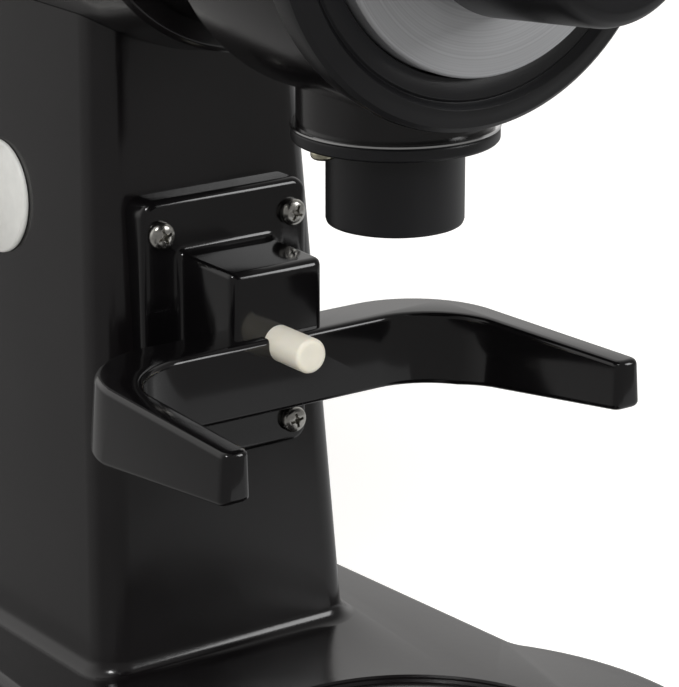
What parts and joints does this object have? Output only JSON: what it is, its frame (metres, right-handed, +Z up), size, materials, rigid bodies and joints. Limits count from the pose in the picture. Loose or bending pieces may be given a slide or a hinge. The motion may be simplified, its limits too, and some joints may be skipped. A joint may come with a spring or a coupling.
{
  "type": "coffee grinder",
  "caption": "Upright electric coffee grinder with a round cup plate, tapered column, horizontal grinding head with front knob, downward chute and a fork bracket with push pin.",
  "frame": {"origin": "under the middle of the bounding box, on the plane the feet stand on", "axes": "+Z up, the knob, chute and cup plate face -Y, +X is the right hand side for someone facing the front"},
  "size_m": [0.1522, 0.2758, 0.3751],
  "materials": {
    "dark_casting": "black stoved enamel on cast aluminium",
    "steel_sheet": "dark satin sheet",
    "screw_steel": "bright plated",
    "foot_rubber": "matt black",
    "badge_white": "plain white",
    "core_steel": "stacked sheet steel",
    "copper_wire": "varnished winding",
    "ground_steel": "ground",
    "black_plastic": "satin black",
    "gloss_black": "gloss black",
    "dial_metal": "satin",
    "pin_nylon": "ivory nylon",
    "smoke_clear": "smoke tinted clear plastic",
    "holder_metal": "machined",
    "contact_brass": "bright",
    "gasket_pale": "bright",
    "block_cream": "cream",
    "screw_cream": "pale yellow passivated"
  },
  "bodies": {
    "stand": {"body": "dark_casting", "base_cover": "steel_sheet", "cover_screws": "screw_steel", "feet": "foot_rubber", "foot_screws": "screw_steel", "badge": "badge_white", "motor_housing": "dark_casting", "housing_screws": "screw_steel", "stator_core": "core_steel", "windings": "copper_wire", "front_bearing": "ground_steel", "rear_bearing": "ground_steel", "back_cover": "black_plastic", "back_cover_screws": "screw_steel", "grinding_chamber": "dark_casting", "chamber_screws": "screw_steel", "bezel_ring": "black_plastic", "detent_ball": "ground_steel", "detent_spring": "ground_steel", "chute": "black_plastic", "chute_gasket": "gasket_pale", "chute_screws": "screw_cream", "fork_bracket": "gloss_black", "bracket_screws": "screw_steel", "return_spring": "ground_steel", "switch_body": "black_plastic", "switch_screws": "screw_steel", "hopper_collar": "black_plastic", "hopper": "smoke_clear", "rocker_frame": "gloss_black", "mains_inlet": "black_plastic", "inlet_pins": "contact_brass", "inlet_screws": "screw_steel", "capacitor": "holder_metal", "capacitor_clip": "core_steel", "terminal_block": "block_cream"},
    "dial": {"dial_disc": "dial_metal", "knob": "black_plastic", "knob_spindle": "ground_steel"},
    "holder": {"burr_holder": "holder_metal", "ring_burr": "ground_steel"},
    "rotor": {"rotor_core": "core_steel", "shaft": "ground_steel", "cone_burr": "ground_steel", "auger": "ground_steel", "fan": "black_plastic"},
    "pin": {"push_pin": "pin_nylon"},
    "lever": {"switch_lever": "ground_steel"},
    "shutter": {"shutter": "black_plastic"},
    "lid": {"hopper_lid": "black_plastic"},
    "rocker": {"rocker": "gloss_black"}
  },
  "joints": [
    {"name": "knob_turn", "type": "hinge", "parent": "stand", "child": "dial", "pos_m": [0, -0.1, 0.235], "axis": [0, -1, 0], "range_deg": [-150, 150]},
    {"name": "burr_setting", "type": "slide", "parent": "stand", "child": "holder", "axis": [0, 1, 0], "range_m": [-0.00045, 0.00045]},
    {"name": "motor_spin", "type": "hinge", "parent": "stand", "child": "rotor", "pos_m": [0, 0.05, 0.235], "axis": [0, -1, 0], "continuous": true},
    {"name": "pin_push", "type": "slide", "parent": "stand", "child": "pin", "axis": [0, 1, 0], "range_m": [0, 0.003], "stiffness_N_per_m": 400, "springref_m": -0.003, "deforming": ["return_spring"]},
    {"name": "switch_lever_swing", "type": "hinge", "parent": "stand", "child": "lever", "pos_m": [0, 0.03934, 0.1037], "axis": [-1, 0, 0], "range_deg": [0, 20]},
    {"name": "shutter_pull", "type": "slide", "parent": "stand", "child": "shutter", "axis": [1, 0, 0], "range_m": [0, 0.036]},
    {"name": "lid_lift", "type": "slide", "parent": "stand", "child": "lid", "axis": [0, 0, 1], "range_m": [0, 0.06]},
    {"name": "rocker_tip", "type": "hinge", "parent": "stand", "child": "rocker", "pos_m": [0, 0.1065, 0.096], "axis": [1, 0, 0], "range_deg": [0, 20]}
  ],
  "couplings": [
    {"joint": "burr_setting", "follows": "knob_turn", "m_per_rad": 0.00015915},
    {"joint": "switch_lever_swing", "follows": "pin_push", "rad_per_m": 107}
  ]
}
